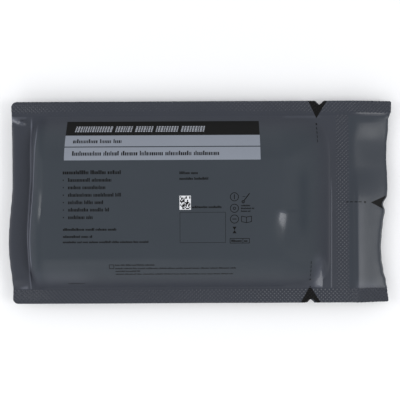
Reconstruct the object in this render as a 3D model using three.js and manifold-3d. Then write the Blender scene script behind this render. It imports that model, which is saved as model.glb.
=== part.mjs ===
// A folded 8 inch trauma bandage in its heat-sealed film pouch, lying on its back.
// The pouch is a web of laminated film. It is folded at one end, sealed along both long sides and
// across near the other end, and its two leaves run on past the cross seal as an open tail.
// Units are millimetres. X runs from the fold to the tail, Y across, Z up. The origin is the middle
// of the pouch's outline, on the face that it rests on.
import * as THREE from "three";
import { mergeVertices } from "three/addons/utils/BufferGeometryUtils.js";
import Module from "manifold-3d";

const wasm = await Module();
wasm.setup();

// Driving dimensions of the film pouch.
const pouchLength = 300;
const pouchWidth = 157.6;
const filmThickness = 0.5;
const leafGap = 0.3; // between the two leaves where the real film is welded
const sideSealWidth = 11.5;
const crossSealWidth = 9.6;
const tailLength = 34.5; // past the cross seal
const sealHeight = 12.5; // the seals' middle plane above the resting face
const tailDroop = 5; // how far the tail's end hangs below that plane
const foldCornerRadius = 4.3;
const tailCornerRadius = 1.2;
const foldBow = 3.4; // how far the folded end's edge wanders
const tailBow = 9.3; // how far the tail's open edge wanders

// Driving dimensions of the bandage inside. Its length here is the wound width of the dressing.
const bandageLength = 203;
const bandageWidth = 112;
const bandageThickness = 31;
const bandageCornerRadius = 14;
const bandageLayers = 4;
const layerSlit = 0.6; // open space between two layers
const layerBend = 9; // uncut cloth at the closed end of each slit
const packClearance = 0.3; // between the bandage and the film
const bandageOffset = 20; // from the folded end to the bandage

// How the film runs off the bandage down to each seal.
const foldMargin = 15.5; // empty film beside the fold
const foldEndSlope = 12;
const tailEndSlope = 40;
const slackPastBandage = 28; // from the bandage to the foot of the slope at the tail end
const farSideSlope = 36;
const nearSideSlope = 26;
const crownRise = 1.4; // the front leaf's middle above the bandage's shoulders
const slopePower = 1.7; // 1 is a straight slope, and more rounds its shoulder
const cornerPower = 3; // 2 is a round corner in plan, and more squares it
const foldSwell = 1.9; // how far each leaf stands off the seals' plane beside the fold
const tailSwell = 1.7; // and along the tail
const tailSwellRise = 9; // from the cross seal to where the tail's swell is full
const creaseLift = 2; // how deep the creases beside the cross seal are
const creaseSpread = 4.5; // and how wide

// Driving dimensions of the tear notches.
const sideNotchWidth = 7.8;
const sideNotchDepth = 2.9;
const tailNotchWidth = 11;
const tailNotchDepth = 2.4;
const farNotchSetback = 13.4; // from the cross seal's inner edge
const nearNotchSetback = 19.8;
const tailNotchOffset = -1.4; // from the middle of the tail

// The folded end. Across is a share of half the width, inset a share of foldBow.
const foldEdge = [
  { across: -1.0, inset: 0.84 },
  { across: -0.86, inset: 0.94 },
  { across: -0.73, inset: 0.68 },
  { across: -0.61, inset: 0.3 },
  { across: -0.5, inset: 0.06 },
  { across: -0.4, inset: 0.0 },
  { across: -0.31, inset: 0.04 },
  { across: -0.19, inset: 0.22 },
  { across: -0.07, inset: 0.48 },
  { across: 0.04, inset: 0.75 },
  { across: 0.16, inset: 0.92 },
  { across: 0.57, inset: 0.9 },
  { across: 0.81, inset: 0.81 },
  { across: 1.0, inset: 0.66 },
];

// The tail's open end. Across is a share of half the width, inset a share of tailBow.
const tailEdge = [
  { across: -1.0, inset: 0.3 },
  { across: -0.87, inset: 0.41 },
  { across: -0.8, inset: 0.53 },
  { across: -0.69, inset: 0.79 },
  { across: -0.57, inset: 0.95 },
  { across: -0.45, inset: 1.0 },
  { across: -0.33, inset: 0.93 },
  { across: -0.21, inset: 0.81 },
  { across: -0.09, inset: 0.64 },
  { across: 0.03, inset: 0.46 },
  { across: 0.14, inset: 0.4 },
  { across: 0.26, inset: 0.42 },
  { across: 0.42, inset: 0.48 },
  { across: 0.56, inset: 0.44 },
  { across: 0.74, inset: 0.3 },
  { across: 0.82, inset: 0.26 },
  { across: 0.86, inset: 0.13 },
  { across: 0.9, inset: 0.02 },
  { across: 1.0, inset: 0.0 },
];

// Soft humps of the tail's two leaves. Along is a share of the tail's length and across of half the
// width, the spreads are shares of the same, and lift is a share of tailSwell.
const tailHumps = [
  { along: 0.62, across: 0.7, spreadAlong: 0.3, spreadAcross: 0.2, lift: 0.9 },
  { along: 0.6, across: 0.14, spreadAlong: 0.28, spreadAcross: 0.22, lift: 0.7 },
  { along: 0.45, across: -0.45, spreadAlong: 0.26, spreadAcross: 0.42, lift: 1.0 },
];

// Creases in the front leaf between the bandage's end and the cross seal: the pack's shoulder, the
// dent at its end, a ridge, a second dent, the fold into the near seal, and the inner edge that
// prints through. Back is how far each lies before that seal, as a share of slackPastBandage, from
// and to are its ends as shares of half the width, spread is a share of creaseSpread and lift a
// share of creaseLift.
const creases = [
  { back: 1.47, from: -0.42, to: -0.12, spread: 0.8, lift: 0.5 },
  { back: 0.95, from: -0.18, to: 0.24, spread: 1.1, lift: -1.1 },
  { back: 0.72, from: -0.35, to: 0.3, spread: 0.7, lift: 0.5 },
  { back: 0.5, from: -0.28, to: 0.22, spread: 1.0, lift: -0.8 },
  { back: 0.47, from: -0.84, to: -0.66, spread: 0.8, lift: 1.1 },
  { back: 0.13, from: -0.84, to: 0.06, spread: 0.6, lift: 0.6 },
];

// Places worked out from the driving dimensions.
const foldX = -pouchLength / 2;
const tailX = pouchLength / 2;
const halfWidth = pouchWidth / 2;
const sealInnerY = halfWidth - sideSealWidth;
const crossSealOuterX = tailX - tailLength;
const crossSealInnerX = crossSealOuterX - crossSealWidth;
const bandageStartX = foldX + bandageOffset;
const bandageEndX = bandageStartX + bandageLength;
const footX = Math.min(bandageEndX + slackPastBandage, crossSealInnerX - filmThickness);
const packHeight = 2 * filmThickness + 2 * packClearance + bandageThickness;

const clamp01 = (t) => Math.min(1, Math.max(0, t));
const mix = (a, b, t) => a * (1 - t) + b * t;
const ease = (t) => t * t * (3 - 2 * t);
const hump = (t) => Math.exp(-t * t);

// The inset at a place across, read off one of the two edge tables.
function insetAt(table, across) {
  const next = table.findIndex((row) => row.across >= across);
  if (next < 0) return table.at(-1).inset;
  if (next === 0) return table[0].inset;
  const [a, b] = [table[next - 1], table[next]];
  return mix(a.inset, b.inset, ease((across - a.across) / (b.across - a.across)));
}

// How far a place lies from the folded edge, which bulges where the bandage presses on it.
const besideFold = (x, y) => x - foldX - foldBow * insetAt(foldEdge, y / halfWidth);

// 1 where the film lies on the bandage, falling to 0 at the foot of its slopes.
function fullness(x, y) {
  const sideSlope = y > 0 ? farSideSlope : nearSideSlope;
  const shortfalls = [
    1 - (besideFold(x, y) - foldMargin) / foldEndSlope,
    1 - (footX - x) / tailEndSlope,
    1 - (sealInnerY - Math.abs(y)) / sideSlope,
  ];
  const sum = shortfalls.reduce((total, e) => total + clamp01(e) ** cornerPower, 0);
  return 1 - Math.min(1, sum ** (1 / cornerPower)) ** slopePower;
}

// The middle plane of the seals, which droops along the tail.
function sealPlane(x) {
  return sealHeight - tailDroop * ease(clamp01((x - crossSealOuterX) / tailLength));
}

// How far each leaf stands off that plane beside the fold and along the tail, away from the seals.
function swell(x, y) {
  const awayFromSeals = ease(clamp01((sealInnerY - Math.abs(y)) / sideSealWidth));
  const beside = clamp01(besideFold(x, y) / foldMargin);
  const atFold = foldSwell * Math.sqrt(Math.sin(Math.PI * beside));
  const along = clamp01((x - crossSealOuterX) / tailLength);
  const humps = tailHumps.map((row) => {
    const lengthways = hump((along - row.along) / row.spreadAlong);
    const crossways = hump((y / halfWidth - row.across) / row.spreadAcross);
    return row.lift * lengthways * crossways;
  });
  const total = humps.reduce((sum, h) => sum + h, 0);
  const atTail = tailSwell * total * ease(clamp01((x - crossSealOuterX) / tailSwellRise));
  return (atFold + atTail) * awayFromSeals;
}

// The creases' share of the front leaf's height, fading out past the ends of each.
function crease(x, y) {
  let lift = 0;
  for (const row of creases) {
    const centre = crossSealInnerX - row.back * slackPastBandage;
    const past = Math.max(0, row.from - y / halfWidth, y / halfWidth - row.to);
    const width = row.spread * creaseSpread;
    lift += row.lift * creaseLift * hump((x - centre) / width) * hump((past * halfWidth) / (2 * width));
  }
  const awayFromSeals =
    clamp01((sealInnerY - Math.abs(y)) / sideSealWidth) * clamp01((crossSealInnerX - x) / creaseSpread);
  return lift * ease(awayFromSeals);
}

// The front leaf's middle is slightly domed.
function crown(x, y) {
  const across = clamp01(1 - (y / sealInnerY) ** 2);
  const along = clamp01(1 - ((2 * x - bandageStartX - bandageEndX) / bandageLength) ** 2);
  return crownRise * across * along;
}

// The four skins of the two leaves, from the top down.
const frontOuter = (x, y) => {
  const flat = sealPlane(x) + leafGap / 2 + filmThickness + swell(x, y);
  return mix(flat, packHeight + crown(x, y), fullness(x, y)) + crease(x, y);
};
const frontInner = (x, y) => frontOuter(x, y) - filmThickness;
const backOuter = (x, y) => {
  const flat = sealPlane(x) - leafGap / 2 - filmThickness - swell(x, y);
  return mix(flat, 0, fullness(x, y));
};
const backInner = (x, y) => backOuter(x, y) + filmThickness;

// Grid lines through a row of places, each stretch cut into steps of about the length beside it.
function gridLines(start, stretches) {
  const lines = [start];
  for (const { to, step } of stretches) {
    const from = lines.at(-1);
    const count = Math.max(1, Math.round((to - from) / step));
    for (let i = 1; i <= count; i++) lines.push(mix(from, to, i / count));
  }
  return lines;
}

// The front leaf has the finest grid, because it has the creases.
const overhang = 2; // the grids reach this far past the outline that cuts them
const plateauStartX = foldX + foldBow + foldMargin + foldEndSlope;
const plateauEndX = footX - tailEndSlope;
const alongLines = (fineness) =>
  gridLines(foldX - overhang, [
    { to: foldX + foldMargin, step: 3.5 * fineness },
    { to: plateauStartX, step: 3.5 * fineness },
    { to: plateauEndX, step: 17 },
    { to: crossSealInnerX, step: 4.5 * fineness },
    { to: crossSealOuterX, step: crossSealWidth },
    { to: tailX + overhang, step: 5.5 * fineness },
  ]);
const acrossLines = (fineness) =>
  gridLines(-halfWidth - overhang, [
    { to: -sealInnerY, step: sideSealWidth },
    { to: nearSideSlope - sealInnerY, step: 4.5 * fineness },
    { to: sealInnerY - farSideSlope, step: 10 * fineness },
    { to: sealInnerY, step: 5.5 * fineness },
    { to: halfWidth + overhang, step: sideSealWidth },
  ]);
const frontGrid = { xs: alongLines(1), ys: acrossLines(1) };
const backGrid = { xs: alongLines(1.5), ys: acrossLines(1.4) };
const layerGrid = { xs: alongLines(3), ys: acrossLines(2.2) };

// A closed slab between two skins over a grid.
function slab({ xs, ys }, lower, upper) {
  const positions = [];
  for (const skin of [lower, upper])
    for (const x of xs) for (const y of ys) positions.push(x, y, skin(x, y));
  const rows = ys.length;
  const skinSize = xs.length * rows;
  const indices = [];
  const wall = (from, to) => indices.push(from, to, to + skinSize, from, to + skinSize, from + skinSize);
  for (let i = 0; i < xs.length - 1; i++) {
    for (let j = 0; j < rows - 1; j++) {
      const a = i * rows + j;
      const [b, c, d] = [a + rows, a + rows + 1, a + 1];
      indices.push(a, c, b, a, d, c);
      indices.push(...[a, b, c, a, c, d].map((v) => v + skinSize));
    }
    wall(i * rows, (i + 1) * rows);
    wall((i + 2) * rows - 1, (i + 1) * rows - 1);
  }
  const lastRow = skinSize - rows;
  for (let j = 0; j < rows - 1; j++) {
    wall(j + 1, j);
    wall(lastRow + j, lastRow + j + 1);
  }
  const geometry = new THREE.BufferGeometry();
  geometry.setAttribute("position", new THREE.Float32BufferAttribute(positions, 3));
  geometry.setIndex(indices);
  return solidFrom(geometry);
}

// A three.js geometry as a manifold solid, and back.
function solidFrom(geometry) {
  const bare = geometry.clone();
  bare.deleteAttribute("normal");
  bare.deleteAttribute("uv");
  const merged = mergeVertices(bare, 1e-4);
  return new wasm.Manifold(
    new wasm.Mesh({
      numProp: 3,
      vertProperties: merged.attributes.position.array,
      triVerts: new Uint32Array(merged.index.array),
    }),
  );
}
function geometryFrom(solid) {
  const mesh = solid.getMesh();
  const geometry = new THREE.BufferGeometry();
  geometry.setAttribute("position", new THREE.BufferAttribute(mesh.vertProperties, 3));
  geometry.setIndex(new THREE.BufferAttribute(mesh.triVerts, 1));
  geometry.computeVertexNormals();
  return geometry;
}

// A prism that stands through everything, to cut with.
const prismHeight = 4 * (packHeight + crownRise + creaseLift);
function prism(shape, curveSegments) {
  const settings = { depth: prismHeight, bevelEnabled: false, curveSegments };
  const geometry = new THREE.ExtrudeGeometry(shape, settings);
  return solidFrom(geometry.translate(0, 0, -prismHeight / 2));
}

// The pouch's outline: straight sealed sides between the bowed fold and the wavy tail end. The
// tables' end rows give way to the rounded corners.
function pouchOutline() {
  const edge = (table, endX, bow, cornerRadius) => {
    const points = table.map((row) => new THREE.Vector2(endX + bow * row.inset, row.across * halfWidth));
    points[0].y += cornerRadius;
    points.at(-1).y -= cornerRadius;
    return points;
  };
  const fold = edge(foldEdge, foldX, foldBow, foldCornerRadius).reverse();
  const tail = edge(tailEdge, tailX, -tailBow, tailCornerRadius);
  const shape = new THREE.Shape();
  const corner = (point, nextX, nextY) =>
    shape.quadraticCurveTo(point.x, Math.sign(point.y) * halfWidth, nextX, nextY);
  shape.moveTo(fold.at(-1).x + foldCornerRadius, -halfWidth);
  shape.lineTo(tail[0].x - tailCornerRadius, -halfWidth);
  corner(tail[0], tail[0].x, tail[0].y);
  shape.splineThru(tail.slice(1));
  corner(tail.at(-1), tail.at(-1).x - tailCornerRadius, halfWidth);
  shape.lineTo(fold[0].x + foldCornerRadius, halfWidth);
  corner(fold[0], fold[0].x, fold[0].y);
  shape.splineThru(fold.slice(1));
  corner(fold.at(-1), fold.at(-1).x + foldCornerRadius, -halfWidth);
  return shape;
}

// A notch with rounded lips, pointing along +Y before it is turned, its deepest place off centre
// by a share of half its width.
function notch({ x, y, turn, width, depth, lean }) {
  const half = width / 2;
  const shape = new THREE.Shape();
  shape.moveTo(-half, -overhang);
  shape.lineTo(half, -overhang);
  shape.lineTo(half, 0);
  shape.bezierCurveTo(half * 0.6, depth * 0.3, half * (lean + 0.3), depth, half * lean, depth);
  shape.bezierCurveTo(half * (lean - 0.3), depth, -half * 0.6, depth * 0.3, -half, 0);
  return prism(shape, 4).rotate([0, 0, turn]).translate([x, y, 0]);
}

// One notch opens at each sealed side and one at the tail's open end.
const farNotchX = crossSealInnerX - farNotchSetback;
const nearNotchX = crossSealInnerX - nearNotchSetback;
const tailNotchX = tailX - tailBow * insetAt(tailEdge, tailNotchOffset / halfWidth);
const sideNotch = { width: sideNotchWidth, depth: sideNotchDepth };
const notches = [
  { x: farNotchX, y: halfWidth, turn: 180, lean: 0.15, ...sideNotch },
  { x: nearNotchX, y: -halfWidth, turn: 0, lean: 0.1, ...sideNotch },
  { x: tailNotchX, y: tailNotchOffset, turn: 90, width: tailNotchWidth, depth: tailNotchDepth, lean: -0.35 },
];
const pouchCut = notches.reduce((cut, row) => cut.subtract(notch(row)), prism(pouchOutline(), 2));

// The bandage fills the film's form and leaves a clearance under it. Its layers are folded to and
// fro across the pouch, so the slits between them open at one side and the other in turn.
function foldedBandage() {
  const r = bandageCornerRadius;
  const halfBandage = bandageWidth / 2;
  const outline = new THREE.Shape();
  outline.absarc(bandageEndX - r, r - halfBandage, r, -Math.PI / 2, 0);
  outline.absarc(bandageEndX - r, halfBandage - r, r, 0, Math.PI / 2);
  outline.absarc(bandageStartX + r, halfBandage - r, r, Math.PI / 2, Math.PI);
  outline.absarc(bandageStartX + r, r - halfBandage, r, Math.PI, 1.5 * Math.PI);
  outline.closePath();
  const lower = (x, y) => backInner(x, y) + packClearance;
  const upper = (x, y) => frontInner(x, y) - packClearance;
  const aboveBack = slab(backGrid, lower, () => prismHeight / 2);
  const belowFront = slab(frontGrid, () => -prismHeight / 2, upper);
  let solid = prism(outline, 5).intersect(aboveBack).intersect(belowFront);
  for (let i = 1; i < bandageLayers; i++) {
    const between = (x, y) => mix(lower(x, y), upper(x, y), i / bandageLayers);
    const slit = slab(
      layerGrid,
      (x, y) => between(x, y) - layerSlit / 2,
      (x, y) => between(x, y) + layerSlit / 2,
    );
    const reach = new THREE.BoxGeometry(pouchLength, bandageWidth, prismHeight);
    reach.translate(0, (i % 2 ? 1 : -1) * layerBend, 0);
    solid = solid.subtract(slit.intersect(solidFrom(reach)));
  }
  return solid;
}

// The pieces, each with its finish.
const film = new THREE.MeshStandardMaterial({ color: 0x42454d, roughness: 0.4, metalness: 0 });
const cloth = new THREE.MeshStandardMaterial({ color: 0xe6e1d3, roughness: 0.95, metalness: 0 });

const bandagePouch = new THREE.Group();
function add(name, solid, material) {
  const mesh = new THREE.Mesh(geometryFrom(solid), material);
  mesh.name = name;
  bandagePouch.add(mesh);
}
add("front_leaf", slab(frontGrid, frontInner, frontOuter).intersect(pouchCut), film);
add("back_leaf", slab(backGrid, backOuter, backInner).intersect(pouchCut), film);
add("folded_bandage", foldedBandage(), cloth);

export default bandagePouch;
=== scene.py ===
# A folded trauma bandage sealed in its film pouch, lying on its back. The pieces are made in the
# order in which the pouch is packed. Lengths are in millimetres until a mesh is written.
import math
from collections import namedtuple

import bmesh
import bpy
import numpy as np
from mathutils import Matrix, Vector


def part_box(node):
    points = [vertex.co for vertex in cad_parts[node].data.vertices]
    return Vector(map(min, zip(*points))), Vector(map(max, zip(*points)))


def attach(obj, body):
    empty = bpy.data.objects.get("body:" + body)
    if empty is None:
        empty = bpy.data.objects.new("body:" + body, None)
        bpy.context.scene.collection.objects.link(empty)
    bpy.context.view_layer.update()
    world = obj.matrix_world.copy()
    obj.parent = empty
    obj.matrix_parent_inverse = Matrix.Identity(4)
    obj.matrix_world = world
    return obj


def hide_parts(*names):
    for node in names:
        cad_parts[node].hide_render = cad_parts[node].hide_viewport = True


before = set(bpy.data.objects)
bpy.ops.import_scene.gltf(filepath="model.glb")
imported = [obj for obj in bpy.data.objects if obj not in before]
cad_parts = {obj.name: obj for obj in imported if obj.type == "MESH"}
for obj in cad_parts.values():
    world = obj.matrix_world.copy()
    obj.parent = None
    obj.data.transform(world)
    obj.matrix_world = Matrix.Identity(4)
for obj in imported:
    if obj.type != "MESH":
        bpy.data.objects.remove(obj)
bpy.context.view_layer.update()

# The view. The camera hangs straight above the pouch, a little off its middle, and takes in
# 312 mm at the height of the seals. The pouch lies turned by a quarter of a degree.
MM = 0.001
seal_height = 12.5
camera_rise = 650.0
camera_place = (-0.7, 1.7)
view_width = 312.4
camera_turn = math.radians(-0.27)


def add_object(name, data):
    made = bpy.data.objects.new(name, data)
    bpy.context.scene.collection.objects.link(made)
    return made


camera = add_object("camera", bpy.data.cameras.new("camera"))
camera.location = (camera_place[0] * MM, camera_place[1] * MM, (seal_height + camera_rise) * MM)
camera.rotation_euler = (0, 0, camera_turn)
camera.data.angle = 2 * math.atan(view_width / 2 / camera_rise)
camera.data.clip_start = 0.01
bpy.context.scene.camera = camera
bpy.context.scene.view_settings.view_transform = "Standard"


# Node trees, for the materials, for the room, and for the forms that repeat.
class Wire:
    """An output of a node, so that sums and products of outputs can be written as expressions."""

    def __init__(self, tree, socket):
        self.tree = tree
        self.socket = socket

    def __add__(self, other):
        return self.tree.calc("ADD", self, other)

    def __mul__(self, other):
        return self.tree.calc("MULTIPLY", self, other)


class Node:
    """A node that has been set up, with its outputs as wires."""

    def __init__(self, tree, node):
        self.tree = tree
        self.made = node

    def out(self, key):
        return Wire(self.tree, self.made.outputs[key])


class Tree:
    """A node tree. Its method node makes a node, sets it and fills its sockets."""

    def __init__(self, made):
        self.made = made

    def node(self, kind, settings=None, sockets=()):
        made = self.made.nodes.new(kind)
        for name, value in (settings or {}).items():
            setattr(made, name, value)
        for key, value in sockets.items() if isinstance(sockets, dict) else enumerate(sockets):
            if isinstance(value, Wire):
                self.made.links.new(value.socket, made.inputs[key])
            else:
                made.inputs[key].default_value = value
        return Node(self, made)

    def calc(self, operation, *values):
        return self.node("ShaderNodeMath", {"operation": operation}, values).out(0)


class ShaderTree(Tree):
    """The node tree of a material or a world."""

    def __init__(self, owner):
        owner.use_nodes = True
        super().__init__(owner.node_tree)
        self.made.nodes.clear()

    def noise(self, place, scale, detail):
        sockets = {"Vector": place, "Scale": scale, "Detail": detail}
        return self.node("ShaderNodeTexNoise", None, sockets).out("Fac")

    def mark(self, name):
        """A mark for the finish, which each place on a mesh carries as an attribute."""
        return self.node("ShaderNodeAttribute", {"attribute_name": name}).out("Fac")

    def blend(self, factor, under, over, kind="MIX"):
        settings = {"data_type": "RGBA", "blend_type": kind}
        return self.node("ShaderNodeMix", settings, {0: factor, 6: under, 7: over}).out(2)

    def bump(self, height, strength, distance):
        sockets = {"Strength": strength, "Distance": distance, "Height": height}
        return self.node("ShaderNodeBump", None, sockets).out(0)

    def surface(self, sockets):
        """Gives the material its shader, with these sockets filled."""
        shader = self.node("ShaderNodeBsdfPrincipled", None, sockets)
        self.node("ShaderNodeOutputMaterial", None, {"Surface": shader.out(0)})


class FormTree(Tree):
    """A geometry nodes tree that takes a form, some lengths and a material, and gives a form."""

    def __init__(self, name, lengths):
        super().__init__(bpy.data.node_groups.new(name, "GeometryNodeTree"))
        add = self.made.interface.new_socket
        add("Geometry", in_out="INPUT", socket_type="NodeSocketGeometry")
        for key, length in lengths.items():
            add(key, in_out="INPUT", socket_type="NodeSocketFloat").default_value = length * MM
        add("Material", in_out="INPUT", socket_type="NodeSocketMaterial")
        add("Geometry", in_out="OUTPUT", socket_type="NodeSocketGeometry")
        self.given = self.node("NodeGroupInput")

    def attribute(self, name, kind):
        sockets = {"Name": name}
        return self.node("GeometryNodeInputNamedAttribute", {"data_type": kind}, sockets).out(0)

    def give(self, form):
        """Makes the form solid, paints it and hands it out."""
        solid = self.node("GeometryNodeRealizeInstances", None, [form.out(0)])
        sockets = {"Geometry": solid.out(0), "Material": self.given.out("Material")}
        painted = self.node("GeometryNodeSetMaterial", None, sockets)
        self.node("NodeGroupOutput", None, {"Geometry": painted.out(0)})
        return self.made


# The studio: a white table and soft boxes round it, with little light from straight above, so
# that level film looks dark and what tilts to the sides picks up a sheen.
table_half = 1.6
table_drop = 0.0002
table_colour = (0.93, 0.93, 0.93, 1)
table_mesh = bpy.data.meshes.new("table")
corners = [(-1, -1), (1, -1), (1, 1), (-1, 1)]
table_points = [(x * table_half, y * table_half, -table_drop) for x, y in corners]
table_mesh.from_pydata(table_points, [], [(0, 1, 2, 3)])
table = add_object("table", table_mesh)
table_material = bpy.data.materials.new("white_table")
tree = ShaderTree(table_material)
grain = tree.node("ShaderNodeTexNoise", None, {"Scale": 40.0, "Detail": 3.0}).out("Fac")
tree.surface({"Base Color": table_colour, "Roughness": grain * 0.1 + 0.75, "Specular IOR Level": 0.2})
table_mesh.materials.append(table_material)

# Each soft box is a panel of light: its bearing and height as seen from the pouch, in degrees, its
# distance, width and height in metres, and its power in watts.
SoftBox = namedtuple("SoftBox", "name bearing height distance wide tall power")
soft_boxes = [
    SoftBox("near_box", -115, 35, 1.5, 0.9, 0.9, 2.6),
    SoftBox("fold_box", 177, 32, 1.5, 0.5, 0.9, 5.0),
    SoftBox("tail_box", -12, 49, 1.5, 0.5, 0.5, 4.0),
]
for box in soft_boxes:
    light = bpy.data.lights.new(box.name, "AREA")
    light.shape = "RECTANGLE"
    light.size = box.wide
    light.size_y = box.tall
    light.energy = box.power
    lamp = add_object(box.name, light)
    bearing, height = math.radians(box.bearing), math.radians(box.height)
    lamp.location = (
        box.distance * math.cos(height) * math.cos(bearing),
        box.distance * math.cos(height) * math.sin(bearing),
        box.distance * math.sin(height),
    )
    lamp.rotation_euler = (math.pi / 2 - height, 0, bearing + math.pi / 2)

# The room is pale at the sides and darker overhead.
room_side = (0.97, 0.98, 1.0, 1)
room_top = (0.82, 0.83, 0.86, 1)
room = bpy.data.worlds.new("room")
bpy.context.scene.world = room
tree = ShaderTree(room)
direction = tree.node("ShaderNodeTexCoord").out("Generated")
rise = tree.node("ShaderNodeSeparateXYZ", None, [direction]).out("Z")
ramp = tree.node("ShaderNodeValToRGB", None, [rise])
stops = ((0.45, room_side), (0.95, room_top))
for stop, (position, colour) in zip(ramp.made.color_ramp.elements, stops):
    stop.position = position
    stop.color = colour
sky = tree.node("ShaderNodeBackground", None, {"Color": ramp.out("Color"), "Strength": 0.9})
tree.node("ShaderNodeOutputWorld", None, {"Surface": sky.out(0)})


# The web of film. It is one sheet of printed laminate, folded at one end and laid double. These
# functions give its form: the level of its seals, and how its front and back bulge off them.
low, high = (np.array(corner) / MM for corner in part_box("front_leaf"))
half_width = (high[1] - low[1]) / 2
fold_x = low[0]
tail_x = high[0]
side_seal = 11.5
cross_seal = 9.6
tail_length = 34.5
tail_droop = 5.0
tail_rise = 7.0
weld = 0.3
mouth_gap = 0.15
film_thickness = 0.2
fold_bow = 3.4
tail_bow = 9.3
fold_corner = 4.3
tail_corner = 1.2
seal_inner = half_width - side_seal
cross_outer = tail_x - tail_length
cross_inner = cross_outer - cross_seal
wander_height = 0.25
ripple_height = 0.12
wander_from, wander_reach = 40, 30

pack_low, pack_high = (np.array(corner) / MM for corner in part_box("folded_bandage"))
fold_margin = 14.4
fold_end_slope = 13.4
end_rounding = 1.25
swell_width = 15.0
tail_end_slope = 40.0
far_slope = 36.0
near_slope = 26.0
foot_x = pack_high[0] + 28.0
crown_rise = 1.4
slope_power = 1.7
corner_power = 3.0
foot_fillet = 0.14
film_over_pack = high[2] - crown_rise
fold_swell = 2.0
swell_side = 9

# The two bowed ends. Across is a share of half the width and inset a share of the end's bow.
fold_edge = np.array([
    (-1.0, 0.84), (-0.86, 0.94), (-0.73, 0.68), (-0.61, 0.3), (-0.5, 0.06), (-0.4, 0.0), (-0.31, 0.04),
    (-0.19, 0.22), (-0.07, 0.48), (0.04, 0.75), (0.16, 0.92), (0.57, 0.9), (0.81, 0.81), (1.0, 0.66),
])
tail_edge = np.array([
    (-1.0, 0.3), (-0.87, 0.41), (-0.8, 0.53), (-0.69, 0.79), (-0.57, 0.95), (-0.45, 1.0), (-0.33, 0.93),
    (-0.21, 0.81), (-0.09, 0.64), (0.03, 0.46), (0.14, 0.4), (0.26, 0.42), (0.42, 0.48), (0.56, 0.44),
    (0.74, 0.3), (0.82, 0.26), (0.86, 0.13), (0.9, 0.02), (1.0, 0.0),
])


def ease(t):
    t = np.clip(t, 0, 1)
    return t * t * (3 - 2 * t)


def mix(a, b, t):
    return a * (1 - t) + b * t


def inset_at(edge, y):
    """The inset at a place across, eased between the rows of an end's table."""
    across = np.clip(y / half_width, -1, 1)
    after = np.clip(np.searchsorted(edge[:, 0], across), 1, len(edge) - 1)
    a, b = edge[after - 1], edge[after]
    return mix(a[..., 1], b[..., 1], ease((across - a[..., 0]) / (b[..., 0] - a[..., 0])))


def corner_cut(y, radius):
    """How far a rounded corner of the pouch stands in from its end, at a place across."""
    past = np.clip(np.abs(y) - (half_width - radius), 0, radius)
    return radius - np.sqrt(radius**2 - past**2)


def fold_end(y):
    return fold_x + fold_bow * inset_at(fold_edge, y) + corner_cut(y, fold_corner)


tail_notch = {"y": -1.4, "half": 5.5, "depth": 2.4}


def notch_profile(t):
    """The depth of a notch with rounded lips, as a share, at a share t of its half width."""
    return np.where(np.abs(t) < 1, (0.5 + 0.5 * np.cos(np.pi * np.clip(t, -1, 1))) ** 0.75, 0)


def tail_end(y):
    notch = tail_notch["depth"] * notch_profile((y - tail_notch["y"]) / tail_notch["half"])
    return tail_x - tail_bow * inset_at(tail_edge, y) - corner_cut(y, tail_corner) - notch


def seal_plane(x, y):
    """The middle of the web, which droops along the tail and isn't quite level along the seals."""
    droop = tail_droop * ease((x - cross_outer) / tail_length)
    facet = fold_lift(tail_facet, x, y) + fold_lift(tail_dip, x, y)
    facet = facet * ease((x - cross_outer) / tail_rise)
    wander = wander_height * np.sin(x / 23 + y / 61) + ripple_height * np.sin(x / 9.1 - y / 40 + 1.3)
    return seal_height - droop + facet + wander * ease((np.abs(y) - wander_from) / wander_reach)


def beside_fold(x, y):
    return x - fold_x - fold_bow * inset_at(fold_edge, y)


def fullness(x, y):
    """1 where the film lies on the bandage, and 0 at the foot of its slopes."""
    side_slope = np.where(y > 0, far_slope, near_slope)
    shortfalls = (
        1 - (beside_fold(x, y) - fold_margin) / fold_end_slope,
        1 - (foot_x - x) / tail_end_slope,
        1 - (seal_inner - np.abs(y)) / side_slope,
    )
    powers = (corner_power * end_rounding, corner_power * end_rounding, corner_power)
    total = sum(np.clip(e, 0, 1) ** power for e, power in zip(shortfalls, powers))
    full = 1 - np.minimum(1, total ** (1 / corner_power)) ** slope_power
    return (full + foot_fillet * (np.exp(-full / foot_fillet) - 1)) / (1 - foot_fillet)


def off_seals(x, y, side_reach, cross_reach):
    """0 on the seals, rising to 1 at a reach from the side ones and another from the cross seal."""
    beside_cross = np.where(x < (cross_inner + cross_outer) / 2, cross_inner - x, x - cross_outer)
    return ease((seal_inner - np.abs(y)) / side_reach) * ease(beside_cross / cross_reach)


def swell(x, y):
    """How far each leaf stands off the seals' plane in the margin beside the fold."""
    beside = np.clip(beside_fold(x, y) / swell_width, 0, 1)
    return fold_swell * np.sin(np.pi * beside**0.5) ** 0.5 * ease((seal_inner - np.abs(y)) / swell_side)


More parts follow.
